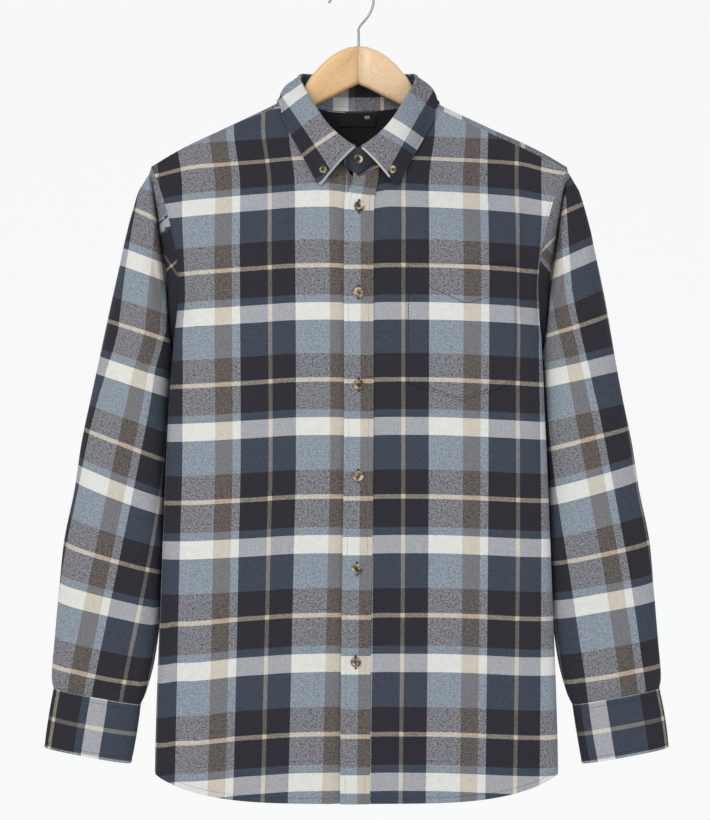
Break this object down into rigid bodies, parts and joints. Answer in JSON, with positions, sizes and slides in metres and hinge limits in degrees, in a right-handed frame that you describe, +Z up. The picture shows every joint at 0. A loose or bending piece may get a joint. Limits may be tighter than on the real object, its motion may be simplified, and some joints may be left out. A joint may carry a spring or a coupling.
{
  "type": "flannel shirt on a wooden hanger",
  "caption": "Plaid flannel shirt with long sleeves, a button-down collar and a chest pocket, buttoned and hanging empty on a wooden hanger with a steel hook.",
  "frame": {"origin": "the top of the hook's inner side, where the rail carries the hanger", "axes": "+Z up, the front of the shirt faces -Y, +X towards the wearer's left sleeve"},
  "size_m": [0.718, 0.1025, 0.944],
  "materials": {
    "shirt_fabric": "brushed flannel in a navy, slate, off-white and taupe plaid",
    "lining": "matte black cotton",
    "label": "dark woven tab, bare",
    "buttons": "marbled horn look",
    "wood": "clear satin varnish on pale beech",
    "steel": "bright nickel-plated wire"
  },
  "bodies": {
    "root": {"front_left": "shirt_fabric", "front_right": "shirt_fabric", "placket": "shirt_fabric", "back": "shirt_fabric", "yoke": "shirt_fabric", "yoke_lining": "lining", "neck_label": "label", "collar_stand": "shirt_fabric", "collar_leaf": "shirt_fabric", "pocket": "shirt_fabric", "sleeve_left": "shirt_fabric", "sleeve_right": "shirt_fabric", "sleeve_placket_left": "shirt_fabric", "sleeve_placket_right": "shirt_fabric", "cuff_left": "shirt_fabric", "cuff_right": "shirt_fabric", "button_front_1": "buttons", "button_front_2": "buttons", "button_front_3": "buttons", "button_front_4": "buttons", "button_front_5": "buttons", "button_front_6": "buttons", "button_stand": "buttons", "button_collar_left": "buttons", "button_collar_right": "buttons", "button_cuff_left": "buttons", "button_cuff_right": "buttons", "hanger_left": "wood", "hanger_right": "wood", "hook": "steel"}
  },
  "joints": []
}
